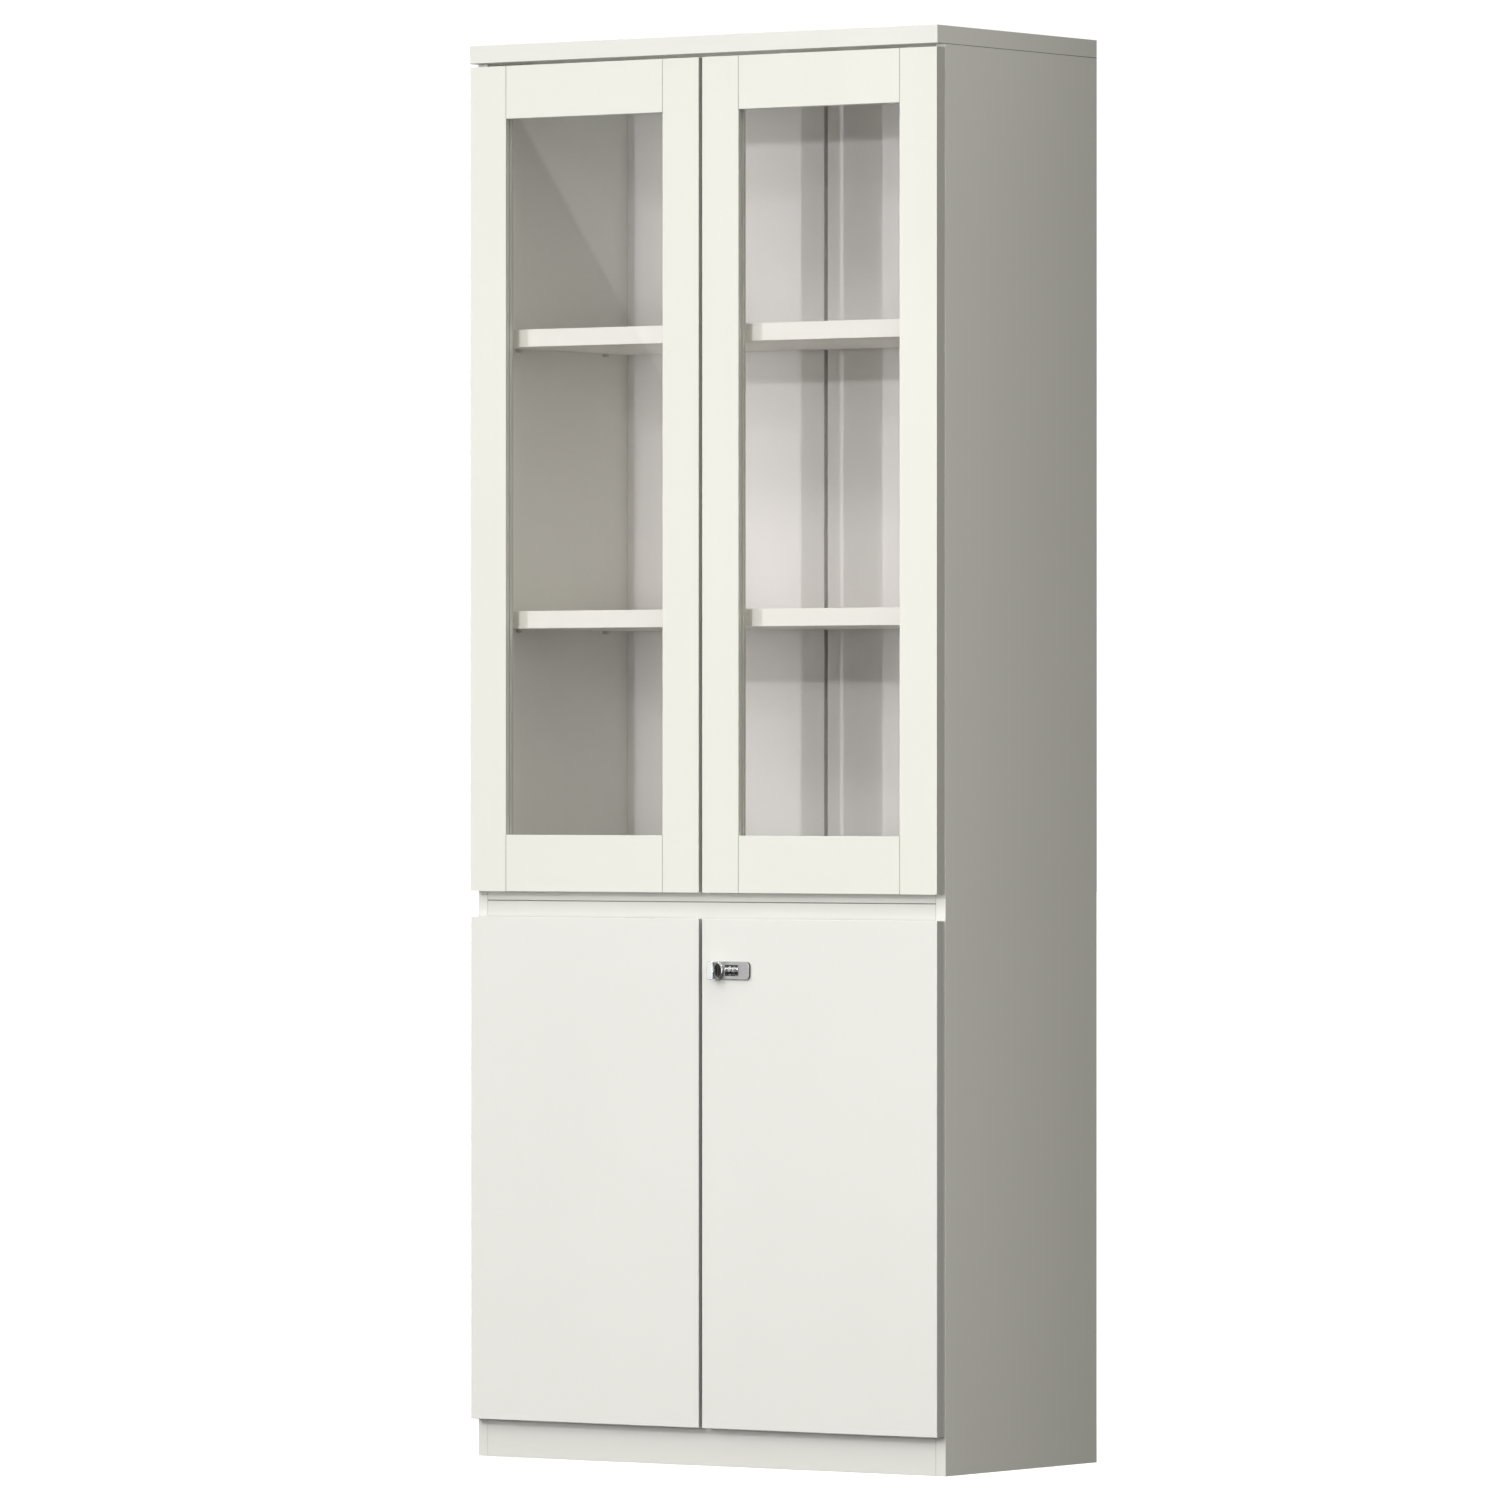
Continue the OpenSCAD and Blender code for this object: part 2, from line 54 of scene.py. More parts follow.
# ---- Camera: solved from the picture's edges. A long lens from the front right, at half the cabinet's height
LENS_MM = 263.55
SENSOR_MM = 36
CAMERA_PLACE = (8.8668, FRONT_Y - 12.5237, 0.9751)
CAMERA_TILT = 90.099
CAMERA_TURN = 35.039
FAR_CLIP = 200
camera_data = bpy.data.cameras.new("camera")
camera_data.lens = LENS_MM
camera_data.sensor_width = SENSOR_MM
camera_data.clip_end = FAR_CLIP
camera = bpy.data.objects.new("camera", camera_data)
camera.location = CAMERA_PLACE
camera.rotation_euler = (math.radians(CAMERA_TILT), 0, math.radians(CAMERA_TURN))
SCENE.collection.objects.link(camera)
SCENE.camera = camera
SCENE.view_settings.view_transform = "Standard"


# ---- Materials
SEAM_SHADE = 0.2  # how light a board joint's hairline is beside its board
SIDE_PAINTED_SHADE = 0.66  # painted shade: how light the doors' left and right faces are painted beside their fronts
BOARD_ROUGHNESS = 0.42


class Finish:
    """A Principled material and the few node patterns that the finishes share.
    Patterns are in metres, in the row frame."""

    def __init__(self, name, colour, roughness, metallic=0.0):
        self.material = bpy.data.materials.new(name)
        self.material.use_nodes = True
        self.tree = self.material.node_tree
        self.shader = self.tree.nodes["Principled BSDF"]
        self.coordinates = self.add("ShaderNodeTexCoord")
        self.place = self.coordinates.outputs["Object"]
        self.colour = colour
        self.set("Base Color", (*colour, 1))
        self.set("Roughness", roughness)
        self.set("Metallic", metallic)

    def add(self, kind, inputs=(), **settings):
        node = self.tree.nodes.new(kind)
        for key, value in settings.items():
            setattr(node, key, value)
        for key, value in dict(inputs).items():
            if isinstance(value, bpy.types.NodeSocket):
                self.tree.links.new(value, node.inputs[key])
            else:
                node.inputs[key].default_value = value
        return node

    def set(self, key, value):
        if isinstance(value, bpy.types.NodeSocket):
            self.tree.links.new(value, self.shader.inputs[key])
        else:
            self.shader.inputs[key].default_value = value

    def noise(self, scale, detail=2.0, stretch=(1, 1, 1), offset=(0, 0, 0)):
        """Cloudy noise from 0 to 1, with scale features to a metre.
        It is drawn out along an axis where stretch is below 1."""
        move = self.add("ShaderNodeMapping", {"Vector": self.place, "Scale": stretch, "Location": offset})
        inputs = {"Vector": move.outputs["Vector"], "Scale": scale, "Detail": detail}
        return self.add("ShaderNodeTexNoise", inputs).outputs["Fac"]

    def spread(self, source, low, high, start=0.3, end=0.7):
        """A value that goes from low to high as source goes from start to end."""
        inputs = {"Value": source, "From Min": start, "From Max": end, "To Min": low, "To Max": high}
        return self.add("ShaderNodeMapRange", inputs).outputs["Result"]

    def tint(self, source, other, under=None):
        """The base colour, or under, turning into other where source is 1."""
        node = self.add("ShaderNodeMix", data_type="RGBA", clamp_factor=True)
        self.tree.links.new(source, node.inputs["Factor"])
        if under is None:
            node.inputs["A"].default_value = (*self.colour, 1)
        else:
            self.tree.links.new(under, node.inputs["A"])
        node.inputs["B"].default_value = (*other, 1)
        return node.outputs["Result"]

    def maths(self, operation, first, second=0.0):
        """One Math node's result."""
        return self.add("ShaderNodeMath", {0: first, 1: second}, operation=operation).outputs[0]

    def facing(self, axis):
        """1 where a face looks along the axis, either way, and 0 where it lies along it."""
        parts = self.add("ShaderNodeSeparateXYZ", {"Vector": self.coordinates.outputs["Normal"]})
        return self.maths("ABSOLUTE", parts.outputs[axis])

    def seam(self, under, axis, places, half, opening=None):
        """The dark hairline where two boards meet, half to each side of the places along an axis.
        It is left out between the two heights of an opening."""
        parts = self.add("ShaderNodeSeparateXYZ", {"Vector": self.place}).outputs
        gap = self.maths("ABSOLUTE", self.maths("SUBTRACT", parts[axis], places[0]))
        for place in places[1:]:
            other = self.maths("ABSOLUTE", self.maths("SUBTRACT", parts[axis], place))
            gap = self.maths("MINIMUM", gap, other)
        near = self.spread(gap, 1, 0, half * 0.7, half)
        on_face = self.spread(self.facing(axis), 1, 0, 0.85, 0.95)
        line = self.maths("MULTIPLY", near, on_face)
        if opening is not None:
            above = self.maths("GREATER_THAN", parts["Z"], opening[1])
            below = self.maths("LESS_THAN", parts["Z"], opening[0])
            line = self.maths("MULTIPLY", line, self.maths("ADD", above, below))
        return self.tint(line, shade(self.colour, SEAM_SHADE), under)

    def bump(self, source, height, under=None):
        """A normal for relief of this height, on top of another normal if under is given."""
        inputs = {"Height": source, "Distance": height, "Strength": 1.0}
        if under is not None:
            inputs["Normal"] = under
        return self.add("ShaderNodeBump", inputs).outputs["Normal"]


def shade(colour, by):
    """The colour made darker."""
    return tuple(c * by for c in colour)


def melamine(name, colour, band=None, seams=()):
    """White melamine-faced board: pearl grain, faint clouding, a few dull wipe marks and a fine speckle.
    Faces to the left and right are painted in the band colour if it is given: painted shade for the doors'
    sides."""
    f = Finish(name, colour, BOARD_ROUGHNESS)
    cloud = f.tint(f.spread(f.noise(3.2, 3), 0, 1), shade(colour, 0.982))
    speckle = f.tint(f.spread(f.noise(650, 2), 0, 1, 0.66, 0.78), shade(colour, 0.93), cloud)
    if band is not None:
        # Painted shade: faces that look left or right turn to the band colour
        speckle = f.tint(f.spread(f.facing("X"), 0, 1, 0.8, 0.95), band, speckle)
    for seam in seams:
        speckle = f.seam(speckle, *seam)
    f.set("Base Color", speckle)
    wiped = f.noise(9, 3, (1, 1, 0.22), (3, 1, 2))
    f.set("Roughness", f.spread(wiped, BOARD_ROUGHNESS - 0.05, BOARD_ROUGHNESS + 0.07))
    grain = f.bump(f.noise(1500, 2), 0.035 * MM)
    f.set("Normal", f.bump(f.noise(120, 2, (1, 1, 0.7)), 0.03 * MM, grain))
    f.set("IOR", 1.47)
    return f.material


def worn_edge(name, colour, seams=()):
    """Edge band: a little glossier where fingers polish it.
    It is rubbed dull and greyer in patches along its length."""
    f = Finish(name, colour, 0.3)
    rubbed = f.spread(f.noise(34, 4, (1, 1, 1), (5, 2, 7)), 0, 1, 0.56, 0.72)
    scuffed = f.tint(rubbed, (colour[0] * 0.86, colour[1] * 0.85, colour[2] * 0.83))
    for seam in seams:
        scuffed = f.seam(scuffed, *seam)
    f.set("Base Color", scuffed)
    f.set("Roughness", f.spread(rubbed, 0.28, 0.5, 0, 1))
    f.set("Normal", f.bump(f.noise(900, 2), 0.02 * MM))
    return f.material


def metal(
    name, colour, roughness, grain=(1, 1, 1), streaks=700, wear=0.08, tarnish=0.9, depth=0.01 * MM, side_shade=None
):
    """Plated metal: fine streaks along the grain's short axis, cloudy roughness and darker rubbed patches.
    Faces that look neither forward nor back are painted in the rim colour if it is given: painted shade for
    the sides."""
    f = Finish(name, colour, roughness, 1.0)
    brushed = f.noise(streaks, 3, grain)
    cloud = f.noise(60, 3, (1, 1, 1), (1, 4, 2))
    dulled = f.tint(f.spread(cloud, 0, 1, 0.45, 0.75), shade(colour, tarnish))
    plated = f.tint(f.spread(brushed, 0, 1, 0.35, 0.8), shade(colour, tarnish + 0.03), dulled)
    if side_shade is not None:
        # Painted shade: faces that look neither forward nor back turn dark
        plated = f.tint(f.spread(f.facing("Y"), 1, 0, 0.3, 0.8), side_shade, plated)
    f.set("Base Color", plated)
    blend = f.maths("ADD", brushed, cloud)
    f.set("Roughness", f.spread(blend, roughness - wear / 2, roughness + wear / 2, 0.7, 1.3))
    f.set("Normal", f.bump(brushed, depth))
    return f.material


def clear_glass(name):
    """Float glass: lamps shine straight through, it mirrors by angle, and faint wipe marks soften the mirror.
    It uses Layer Weight, because the Fresnel node turns the panes' far faces black at an angle."""
    f = Finish(name, (0.9, 0.95, 0.93), 0.0)
    clear = f.add("ShaderNodeBsdfTransparent", {"Color": (0.998, 0.996, 0.994, 1)})
    smear = f.spread(f.noise(7, 4, (1, 1, 0.3)), 0.0, 0.025, 0.5, 0.8)
    mirror = f.add("ShaderNodeBsdfAnisotropic", {"Color": (0.98, 0.98, 0.97, 1), "Roughness": smear})
    grazing = f.maths("POWER", f.add("ShaderNodeLayerWeight", {"Blend": 0.5}).outputs["Facing"], 5.0)
    share = f.spread(grazing, 0.018, 1, 0, 1)
    mix = f.add("ShaderNodeMixShader", {0: share, 1: clear.outputs[0], 2: mirror.outputs[0]})
    output = f.tree.nodes["Material Output"]
    f.tree.links.new(mix.outputs[0], output.inputs["Surface"])
    f.tree.nodes.remove(f.shader)
    return f.material


def silicone(name):
    """Clear soft bumper, a little cloudy."""
    f = Finish(name, (0.86, 0.87, 0.86), 0.34)
    f.set("Transmission Weight", 0.55)
    f.set("IOR", 1.41)
    f.set("Roughness", f.spread(f.noise(300, 2), 0.28, 0.42))
    f.set("Normal", f.bump(f.noise(800, 2), 0.02 * MM))
    return f.material


def enamel(name):
    """Black paint with a fine grey speckle."""
    f = Finish(name, (0.012, 0.012, 0.013), 0.35)
    f.set("Base Color", f.tint(f.spread(f.noise(900, 3), 0, 1, 0.55, 0.75), (0.05, 0.05, 0.052)))
    f.set("Roughness", f.spread(f.noise(1200, 2), 0.3, 0.5))
    return f.material


WARM_WHITE = (0.865, 0.865, 0.80)
COOL_WHITE = (0.85, 0.85, 0.815)
CARCASS_WHITE = (0.845, 0.842, 0.80)
# The channel boards are the cabinet's white board, painted darker: painted shade for the recess between the
# doors
CHANNEL_SHADED_WHITE = (0.76, 0.755, 0.72)
# The back boards' white: partly their own pinkish tone, partly painted light that makes the interior brighter
BACK_WHITE_AND_LIGHT = (0.875, 0.852, 0.85)
# The shelves' white is brighter than the carcass: partly their own white, partly painted light for the lit
# shelf fronts
SHELF_WHITE_AND_LIGHT = (0.915, 0.905, 0.86)

# Board joints: each a tuple of axis, places, half width and, for the doors, the pane's opening
rail_ends = [corner.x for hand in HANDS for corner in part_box(f"upper_{hand}_top_rail")]
glass_opening = (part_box("upper_left_bottom_rail")[1].z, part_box("upper_left_top_rail")[0].z)
door_seams = [("X", rail_ends, 0.5 * MM, glass_opening)]
plinth_ends = [corner.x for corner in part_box("plinth_front")]
plinth_seams = [("X", plinth_ends, 0.5 * MM)]
channel_seams = [("Z", [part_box("middle_rail")[1].z], 0.8 * MM), *plinth_seams]
top_seams = [("Z", [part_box("top_panel")[0].z], 0.5 * MM)]

# The doors' left and right faces are painted darker than their fronts: painted shade
upper_face = melamine("upper_door_white", WARM_WHITE, shade(WARM_WHITE, SIDE_PAINTED_SHADE), door_seams)
upper_edge = worn_edge("upper_door_edge", WARM_WHITE, door_seams)
lower_face = melamine("lower_door_white", COOL_WHITE, shade(COOL_WHITE, SIDE_PAINTED_SHADE))
lower_edge = worn_edge("lower_door_edge", COOL_WHITE)
carcass_face = melamine("cabinet_white", CARCASS_WHITE, seams=top_seams)
carcass_edge = worn_edge("cabinet_edge", CARCASS_WHITE, top_seams)
# Partly painted light: the back boards' face and edge take the lighter white
back_face = melamine("back_board_white", BACK_WHITE_AND_LIGHT)
back_edge = worn_edge("back_board_edge", BACK_WHITE_AND_LIGHT)
# Partly painted light: the shelves' face and edge take the brighter white
shelf_face = melamine("shelf_white_and_painted_light", SHELF_WHITE_AND_LIGHT)
shelf_edge = worn_edge("shelf_edge", SHELF_WHITE_AND_LIGHT)
# Painted shade: the channel's face and edge take the darker white
channel_face = melamine("channel_white_painted_shade", CHANNEL_SHADED_WHITE, seams=channel_seams)
channel_edge = worn_edge("channel_edge", CHANNEL_SHADED_WHITE, channel_seams)
plinth_face = melamine("plinth_white", CARCASS_WHITE, seams=plinth_seams)
plinth_edge = worn_edge("plinth_edge", CARCASS_WHITE, plinth_seams)
zinc = metal("hinge_zinc", (0.60, 0.61, 0.62), 0.32, (1, 0.05, 1))
nickel = metal("bright_nickel", (0.72, 0.71, 0.69), 0.2, (1, 1, 0.06), wear=0.1)
# The lock plate's side faces are painted near black: painted shade beside and under the plate
satin_nickel = metal(
    "lock_satin_nickel", (0.47, 0.47, 0.47), 0.3, (0.04, 1, 1), 1500, depth=0.006 * MM, side_shade=(0.1, 0.1, 0.1)
)
chrome = metal("knob_chrome", (0.74, 0.75, 0.76), 0.1, (1, 1, 0.05), 1800, 0.06, 0.94, 0.003 * MM)
wheel_metal = metal("wheel_nickel", (0.66, 0.66, 0.65), 0.26, (1, 1, 0.1), 1400, depth=0.006 * MM)
glass = clear_glass("clear_glass")
rubber = silicone("clear_silicone")
black = enamel("digit_enamel")


# ---- CAD nodes: finish and softened edges
FLAT_ANGLE = math.radians(0.4)
EDGE_ANGLE = math.radians(30)


def dress(names, face, edge, width, segments=2, clean=True):
    """Gives CAD nodes a material and rounds their edges with modifiers. Their own vertices stay as packed.
    clean merges flat faces first. Drilled boards go without it. Their rounding would fold over at the
    holes, so Blender's clamp cuts it on the whole board, to a few hundredths of a millimetre."""
    for name in names:
        obj = nodes[name]
        obj.data.materials.clear()
        obj.data.materials.append(face)
        if edge is not None:
            obj.data.materials.append(edge)
        obj.data.polygons.foreach_set("use_smooth", [True] * len(obj.data.polygons))
        weld = obj.modifiers.new("weld", "WELD")
        weld.merge_threshold = SAME_POINT
        if clean:
            flat = obj.modifiers.new("flat", "DECIMATE")
            flat.decimate_type = "DISSOLVE"
            flat.angle_limit = FLAT_ANGLE
        if width:
            bevel = obj.modifiers.new("bevel", "BEVEL")
            bevel.width = width
            bevel.segments = segments
            bevel.limit_method = "ANGLE"
            bevel.angle_limit = EDGE_ANGLE
            bevel.use_clamp_overlap = not clean
            if edge is not None:
                bevel.material = 1
        normals = obj.modifiers.new("normals", "WEIGHTED_NORMAL")
        normals.keep_sharp = True
        normals.weight = 100


def pair(pattern):
    """The pattern's left and right names."""
    return [pattern.format(hand) for hand in HANDS]


def doors(pattern):
    """The pattern's names for all four doors."""
    return [pattern.format(row=row, hand=hand) for row in ROWS for hand in HANDS]


DRILLED_STILES = pair("upper_{}_outer_stile")
PLAIN_FRAME = [
    name + part for name in pair("upper_{}_") for part in ("inner_stile", "top_rail", "bottom_rail")
]
PLAIN_CARCASS = ["bottom_panel", "plinth_rear", "back_batten", "wall_rail"]
DRILLED_CARCASS = ["top_panel"] + pair("side_{}")
SHELVES = ["high_shelf", "low_shelf", "cupboard_shelf"]

dress(PLAIN_FRAME, upper_face, upper_edge, 0.6 * MM)
dress(DRILLED_STILES, upper_face, upper_edge, 0.6 * MM, clean=False)
dress(pair("upper_{}_glazing_beads"), upper_face, upper_edge, 0.5 * MM)
dress(pair("lower_{}_panel"), lower_face, lower_edge, 1.0 * MM, 3)
dress(PLAIN_CARCASS, carcass_face, carcass_edge, 0.5 * MM)
dress(DRILLED_CARCASS, carcass_face, carcass_edge, 0.5 * MM, clean=False)
dress(["middle_shelf", "middle_rail"], channel_face, channel_edge, 0.5 * MM)
dress(["plinth_front"], plinth_face, plinth_edge, 0.5 * MM)
dress(pair("back_board_{}"), back_face, back_edge, 0.5 * MM)
dress(SHELVES, shelf_face, shelf_edge, 0.9 * MM, 3)
dress(pair("upper_{}_glass"), glass, None, 0)
dress(["door_bumpers"], rubber, None, 0.7 * MM, 4)
dress(["cam_discs"] + pair("hinge_plates_{}"), zinc, None, 0.3 * MM)
dress(doors("hinge_arms_{row}_{hand}"), zinc, None, 0.2 * MM)
dress(doors("{row}_{hand}_hinge_cups"), zinc, None, 0.15 * MM)
dress(doors("{row}_{hand}_cup_screws"), nickel, None, 0.4 * MM)
dress(["hinge_plate_screws", "cam_bolts", "shelf_pins", "bolt_bar"], nickel, None, 0.3 * MM)
dress(["bolt_body"], zinc, None, 0.4 * MM)
dress(["lock_body"], satin_nickel, None, 0.5 * MM, 3)
dress(["lock_nut", "lock_cam"], zinc, None, 0.3 * MM)
dress(["cam_screw", "wheel_axle"], nickel, None, 0.3 * MM)
dress(["lock_knob"], chrome, None, 0.6 * MM, 3)
dress([f"number_wheel_{place}" for place in (1, 2, 3)], wheel_metal, None, 0.2 * MM)


# ---- Small pieces that the CAD leaves plain: screws, dial numbers, and the knob's ring and face
def islands(name):
    """(lowest corner, highest corner) of each separate solid in a CAD node, from low to high."""
    mesh = bmesh.new()
    mesh.from_mesh(nodes[name].data)
    bmesh.ops.remove_doubles(mesh, verts=mesh.verts, dist=SAME_POINT)
    left, found = set(mesh.verts), []
    while left:
        group, waiting = set(), [left.pop()]
        while waiting:
            vert = waiting.pop()
            group.add(vert)
            near = {e.other_vert(vert) for e in vert.link_edges} & left
            left -= near
            waiting.extend(near)
        lo = Vector([min(v.co[i] for v in group) for i in range(3)])
        hi = Vector([max(v.co[i] for v in group) for i in range(3)])
        found.append((lo, hi))
    mesh.free()
    return sorted(found, key=lambda box: (round(box[0].z, 4), round(box[0].y, 4), round(box[0].x, 4)))


def finish_piece(name, mesh, materials, body, smooth=True):
    """Turns a bmesh into a piece that rides on a body."""
    data = bpy.data.meshes.new(name)
    bmesh.ops.recalc_face_normals(mesh, faces=mesh.faces)
    mesh.to_mesh(data)
    mesh.free()
    for material in materials:
        data.materials.append(material)
    data.polygons.foreach_set("use_smooth", [smooth] * len(data.polygons))
    obj = bpy.data.objects.new(name, data)
    SCENE.collection.objects.link(obj)
    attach(obj, body)
    return obj


def ring(mesh, radius, height, count):
    """A level circle of vertices round the Z axis."""
    steps = [2 * math.pi * i / count for i in range(count)]
    return [mesh.verts.new((radius * math.cos(a), radius * math.sin(a), height)) for a in steps]


def bridge(mesh, lower, upper):
    """A band of faces between two rings of the same count."""
    count = len(lower)
    for i in range(count):
        j = (i + 1) % count
        mesh.faces.new((lower[i], lower[j], upper[j], upper[i]))


def screw_mesh(mesh, place, length, radius, head_radius, head_height):
    """A pan head with a cross recess on a threaded shank that ends in a point.
    The axis is +Z before place moves it."""
    start = len(mesh.verts)
    shank = length - head_height
    tip = ring(mesh, radius * 0.12, 0, SCREW_SIDES)
    mesh.faces.new(tip[::-1])
    last = ring(mesh, radius * 0.7, shank * 0.16, SCREW_SIDES)
    bridge(mesh, tip, last)
    outer = []
    for turn in range(SCREW_TURNS):
        for depth, part in ((1.0, 0.35), (0.7, 0.85)):
            outer.append((radius * depth, shank * (0.16 + 0.7 * (turn + part) / SCREW_TURNS)))
    outer += [
        (radius * 0.85, shank * 0.93),  # neck
        (radius * 0.95, shank),
        (head_radius * 0.97, shank),  # seat of the head
        (head_radius, shank + head_height * 0.12),
        (head_radius * 0.99, shank + head_height * 0.42),
        (head_radius * 0.86, shank + head_height * 0.82),
        (head_radius * 0.66, shank + head_height),  # crown
    ]
    for out, height in outer:
        now = ring(mesh, out, height, SCREW_SIDES)
        bridge(mesh, last, now)
        last = now
    arm, blade = head_radius * 0.5, head_radius * 0.13
    corners = [(arm, -blade), (arm, blade), (blade, blade)]
    outline = []
    for quarter in range(4):
        for x, y in corners:
            for _ in range(quarter):
                x, y = -y, x
            outline.append((x, y))
    top = [mesh.verts.new((x, y, shank + head_height)) for x, y in outline]
    floor_z = shank + head_height * 0.25
    low = [mesh.verts.new((x * 0.72, y * 0.72, floor_z)) for x, y in outline]
    rim_edges = [mesh.edges.get((last[i], last[(i + 1) % SCREW_SIDES])) for i in range(SCREW_SIDES)]
    cross_edges = [mesh.edges.new((top[i], top[(i + 1) % len(top)])) for i in range(len(top))]
    bmesh.ops.triangle_fill(mesh, use_beauty=True, edges=rim_edges + cross_edges)
    inside = [f for f in mesh.faces if all(v in top for v in f.verts)]
    bmesh.ops.delete(mesh, geom=inside, context="FACES_ONLY")
    bridge(mesh, low, top)
    mesh.faces.new(low)
    mesh.verts.ensure_lookup_table()
    for vert in mesh.verts[start:]:
        vert.co = place @ vert.co


def screws(name, node, body, axis, head_to=None):
    """Detailed screws in place of a CAD node's plain ones, each fitted to its own solid's box.
    The heads point along the axis to head_to, or to the cabinet's middle."""
    mesh = bmesh.new()
    for number, (lo, hi) in enumerate(islands(node)):
        middle = (lo + hi) / 2
        sign = head_to if head_to is not None else (1 if middle.x < 0 else -1)
        out = Vector([sign if i == axis else 0 for i in range(3)])
        length = (hi - lo)[axis]
        turned = out.to_track_quat("Z", "Y").to_matrix().to_4x4()
        spin = Matrix.Rotation(math.radians(SCREW_SPIN * number % 90), 4, "Z")
        place = Matrix.Translation(middle - out * length / 2) @ turned @ spin
        screw_mesh(mesh, place, length, SCREW_R, (hi - lo)[(axis + 1) % 3] / 2, SCREW_HEAD)
    piece = finish_piece(name, mesh, [nickel], body)
    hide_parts(node)
    sharpen(piece, 40)


def sharpen(obj, degrees):
    """Marks edges sharper than this as sharp, so that only curved faces shade as curved."""
    mesh = bmesh.new()
    mesh.from_mesh(obj.data)
    for edge in mesh.edges:
        edge.smooth = edge.calc_face_angle(0) < math.radians(degrees)
    mesh.to_mesh(obj.data)
    mesh.free()


SCREW_R = 1.7 * MM
SCREW_HEAD = 1.4 * MM
SCREW_SIDES = 24
SCREW_TURNS = 7
SCREW_SPIN = 37  # degrees from one screw's recess to the next one's
X_AXIS, Y_AXIS = 0, 1
screws("plate_screws_detailed", "hinge_plate_screws", "cabinet", X_AXIS)
for door in doors("{row}_{hand}"):
    screws(f"{door}_cup_screws_detailed", f"{door}_cup_screws", f"{door}_door", Y_AXIS, 1)

DIAL_TALL = 4.1 * MM
DIAL_RAISED = 0.05 * MM
DIAL_STEP = 0.4 * MM
DIAL_WIDEN = 1.25


def figure(number):
    """A flat generic numeral, centred, cut into thin rows so that it can bend round a wheel."""
    curve = bpy.data.curves.new("figure", "FONT")
    curve.body = str(number)
    curve.size = DIAL_TALL / 0.7
    curve.extrude = DIAL_RAISED / 2
    curve.offset = 0.02 * curve.size
    curve.resolution_u = 5
    text = bpy.data.objects.new("figure", curve)
    SCENE.collection.objects.link(text)
    bpy.context.view_layer.update()
    data = bpy.data.meshes.new_from_object(text.evaluated_get(bpy.context.evaluated_depsgraph_get()))
    bpy.data.objects.remove(text)
    mesh = bmesh.new()
    mesh.from_mesh(data)
    bpy.data.meshes.remove(data)
    bmesh.ops.remove_doubles(mesh, verts=mesh.verts, dist=0.001 * MM)
    xs, ys = [v.co.x for v in mesh.verts], [v.co.y for v in mesh.verts]
    middle = Vector(((min(xs) + max(xs)) / 2, (min(ys) + max(ys)) / 2, 0))
    bmesh.ops.translate(mesh, vec=-middle, verts=mesh.verts)
    for row in range(-7, 8):
        geometry = list(mesh.verts) + list(mesh.edges) + list(mesh.faces)
        cut = (0, row * DIAL_STEP, 0)
        bmesh.ops.bisect_plane(mesh, geom=geometry, dist=0.0000001, plane_co=cut, plane_no=(0, 1, 0))
    return mesh


def wheel_numbers(place):
    """The ten numerals round one wheel, standing a hair proud of its face. 0 is to the front."""
    lo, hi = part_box(f"number_wheel_{place}")
    centre = (lo + hi) / 2
    radius = (hi - lo).z / 2
    joined = bmesh.new()
    for number in range(10):
        mesh = figure(number)
        turn = math.radians(36) * (-number % 10)
        for vert in mesh.verts:
            angle = turn + vert.co.y / radius
            reach = radius + vert.co.z + DIAL_RAISED / 2
            vert.co = (
                centre.x + vert.co.x * DIAL_WIDEN,
                centre.y - reach * math.cos(angle),
                centre.z + reach * math.sin(angle),
            )
        data = bpy.data.meshes.new("numeral")
        mesh.to_mesh(data)
        mesh.free()
        joined.from_mesh(data)
        bpy.data.meshes.remove(data)
    body = f"wheel_{('one', 'two', 'three')[place - 1]}"
    return finish_piece(f"wheel_{place}_numbers", joined, [black], body, False)


for wheel in (1, 2, 3):
    wheel_numbers(wheel)


def lathe(name, profile, count, place, materials, body):
    """A closed ring turned from a closed profile of (radius, height) points."""
    mesh = bmesh.new()
    rings = [ring(mesh, r, h, count) for r, h in profile]
    for i, lower in enumerate(rings):
        bridge(mesh, lower, rings[(i + 1) % len(rings)])
    bmesh.ops.transform(mesh, matrix=place, verts=mesh.verts)
    return finish_piece(name, mesh, materials, body)


knob_lo, knob_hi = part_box("lock_knob")
SPINDLE_X = (knob_lo.x + knob_hi.x) / 2
SPINDLE_Z = (knob_lo.z + knob_hi.z) / 2
KNOB_R = (knob_hi.x - knob_lo.x) / 2
KNOB_FACE_Y = FRONT_Y - 7.5 * MM
KNOB_SIDES = 96
BEAD_R = 0.55 * MM
BEAD_SIDES = 12
BEAD_MIDDLE_R = KNOB_R - 1.5 * MM
FACE_R = KNOB_R - 2.2 * MM
FACE_HOLE_R = 0.5 * MM
FACE_THICK = 0.24 * MM
face_out = Matrix.Rotation(math.radians(90), 4, "X")
knob_place = Matrix.Translation((SPINDLE_X, KNOB_FACE_Y, SPINDLE_Z)) @ face_out
bead_steps = [2 * math.pi * i / BEAD_SIDES for i in range(BEAD_SIDES)]
bead_profile = [(BEAD_MIDDLE_R + BEAD_R * math.cos(a), BEAD_R * math.sin(a)) for a in bead_steps]
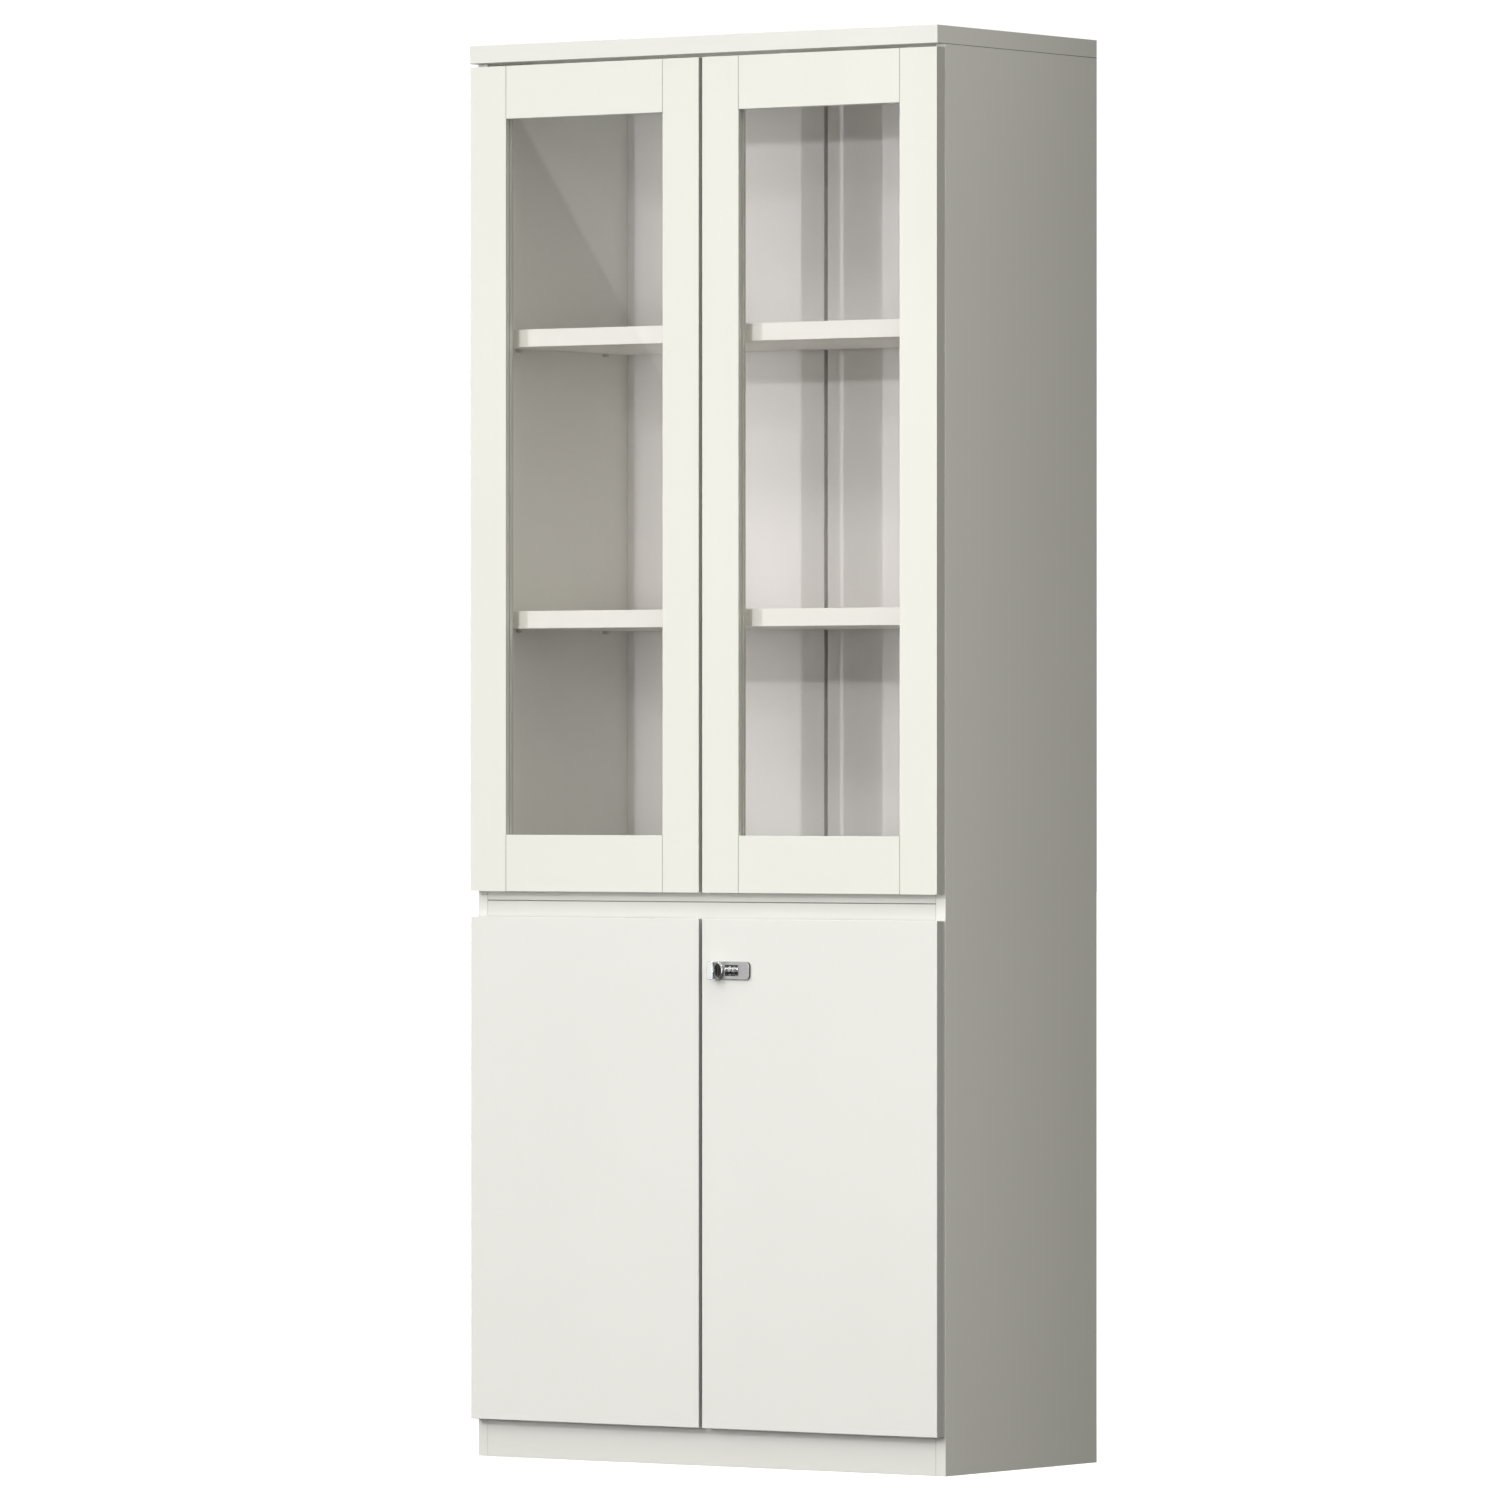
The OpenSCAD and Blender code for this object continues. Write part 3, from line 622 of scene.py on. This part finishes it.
face_profile = [
    (FACE_HOLE_R, 0.0),
    (FACE_R, 0.0),
    (FACE_R, FACE_THICK / 2),
    (FACE_R - FACE_THICK / 2, FACE_THICK),
    (FACE_HOLE_R, FACE_THICK),
]
lathe("knob_ring", bead_profile, KNOB_SIDES, knob_place, [chrome], "knob_and_cam")
knob_face = lathe("knob_face", face_profile, KNOB_SIDES, knob_place, [black], "knob_and_cam")
sharpen(knob_face, 30)


# ---- Floor, lights, flag and reflector cards. The lights were fitted to the picture's shadows
def stage_mesh(name, corners, material):
    """One flat face that belongs to the studio and not to the part."""
    mesh = bpy.data.meshes.new(name)
    mesh.from_pydata(corners, [], [tuple(range(len(corners)))])
    mesh.materials.append(material)
    obj = bpy.data.objects.new(name, mesh)
    SCENE.collection.objects.link(obj)
    return obj


floor_finish = Finish("floor_paint", (0.9, 0.9, 0.89), 0.7)
floor_finish.set("Roughness", floor_finish.spread(floor_finish.noise(2, 3), 0.65, 0.8))
floor_finish.set("Emission Color", (1, 1, 1, 1))
floor_finish.set("Emission Strength", 0.85)
FLOOR = 60.0
floor_corners = [(-FLOOR, -FLOOR, 0), (FLOOR, -FLOOR, 0), (FLOOR, FLOOR, 0), (-FLOOR, FLOOR, 0)]
floor = stage_mesh("floor", floor_corners, floor_finish.material)
floor.visible_diffuse = False
floor.visible_glossy = False
floor.visible_transmission = False
floor.visible_shadow = False


def lamp(name, place, target, power, size, colour=(1, 1, 1)):
    """An area light, size wide and tall, that faces target."""
    data = bpy.data.lights.new(name, "AREA")
    data.energy = power
    data.shape = "RECTANGLE"
    data.size, data.size_y = size
    data.color = colour
    obj = bpy.data.objects.new(name, data)
    obj.location = place
    obj.rotation_euler = (Vector(target) - Vector(place)).to_track_quat("-Z", "Y").to_euler()
    SCENE.collection.objects.link(obj)


MIDDLE = (0.0, FRONT_Y, 1.0)
lamp("left_key", (-2.1, FRONT_Y - 4.41, 2.2), MIDDLE, 37, (0.1, 0.1))
lamp("left_far", (-4.96, FRONT_Y - 10.61, 8.6), MIDDLE, 210, (2.0, 2.0))
lamp("high_front", (0.3, FRONT_Y - 8.81, 4.5), MIDDLE, 55, (0.3, 0.3))
lamp("strip", (0.107, FRONT_Y - 4.4, 1.55), (0.107, FRONT_Y, 1.55), 34, (0.03, 1.8))
lamp("right_far", (7.8, FRONT_Y - 11.1, 4.5), MIDDLE, 75, (0.4, 0.4))
lamp("low_far", (0.0, FRONT_Y - 11.81, 0.9), MIDDLE, 110, (6.0, 3.0))
lamp("low_near", (0.0, FRONT_Y - 4.81, 0.4), MIDDLE, 28, (3.0, 1.2))
lamp("side_fill", (2.0, -1.3, 1.0), (0.4, 0.0, 1.0), 4.5, (1.0, 2.0), (1, 0.97, 0.9))


def card(name, corners, strength):
    """A glowing studio card that shows only in mirrors: glass and polished metal."""
    f = Finish(name, (0, 0, 0), 1)
    f.set("Emission Color", (1, 1, 1, 1))
    f.set("Emission Strength", strength)
    obj = stage_mesh(name, corners, f.material)
    obj.visible_camera = False
    obj.visible_diffuse = False
    obj.visible_shadow = False


# A black flag behind the right side, which darkens that side toward the back
FLAG_Y = 0.27
FLAG_X = (0.43, 1.2)
FLAG_TOP = 2.4
flag_corners = [
    (FLAG_X[0], FLAG_Y, 0.0),
    (FLAG_X[1], FLAG_Y, 0.0),
    (FLAG_X[1], FLAG_Y, FLAG_TOP),
    (FLAG_X[0], FLAG_Y, FLAG_TOP),
]
flag_finish = Finish("flag_black", (0.02, 0.02, 0.02), 0.9)
flag = stage_mesh("flag", flag_corners, flag_finish.material)
flag.visible_camera = False
flag.visible_glossy = False

# One card brightens the lock's grip and plate, the other is the slanted glare in the left pane
LOW_CARD = [(-2.43, -2.14, 0.02), (-0.95, -3.18, 0.02), (-0.95, -3.18, 0.83), (-2.43, -2.14, 0.83)]
LEFT_CARD = [(-2.1551, -2.5911, 2.1769), (-1.7389, -2.6294, 1.5082), (-1.7361, -2.6253, 2.1632)]
card("card_low", LOW_CARD, 1.15)
card("card_left", LEFT_CARD, 1.3)

# The camera sees plain white. All other rays meet a warm sky that fades to black at the horizon
BACKDROP_STRENGTH = 1.05
SKY_STRENGTH = 1.48
SKY_COLOUR = (1, 0.98, 0.92, 1)
SKY_TILT = 0.17  # how much brighter the sky is toward +X
world = bpy.data.worlds.new("studio")
SCENE.world = world
world.use_nodes = True
tree = world.node_tree
tree.nodes.clear()
path = tree.nodes.new("ShaderNodeLightPath")
seen = tree.nodes.new("ShaderNodeBackground")
seen.inputs["Color"].default_value = (1, 1, 1, 1)
seen.inputs["Strength"].default_value = BACKDROP_STRENGTH
around = tree.nodes.new("ShaderNodeBackground")
around.inputs["Strength"].default_value = SKY_STRENGTH
direction = tree.nodes.new("ShaderNodeTexCoord")
split = tree.nodes.new("ShaderNodeSeparateXYZ")
tree.links.new(direction.outputs["Generated"], split.inputs[0])
sky = tree.nodes.new("ShaderNodeMix")
sky.data_type = "RGBA"
sky.clamp_factor = True
tilt = tree.nodes.new("ShaderNodeMath")
tilt.operation = "MULTIPLY_ADD"
tree.links.new(split.outputs["X"], tilt.inputs[0])
tilt.inputs[1].default_value = SKY_TILT
tree.links.new(split.outputs["Z"], tilt.inputs[2])
tree.links.new(tilt.outputs[0], sky.inputs["Factor"])
sky.inputs["A"].default_value = (0, 0, 0, 1)
sky.inputs["B"].default_value = SKY_COLOUR
tree.links.new(sky.outputs["Result"], around.inputs["Color"])
mix = tree.nodes.new("ShaderNodeMixShader")
world_output = tree.nodes.new("ShaderNodeOutputWorld")
tree.links.new(path.outputs["Is Camera Ray"], mix.inputs[0])
tree.links.new(around.outputs[0], mix.inputs[1])
tree.links.new(seen.outputs[0], mix.inputs[2])
tree.links.new(mix.outputs[0], world_output.inputs["Surface"])
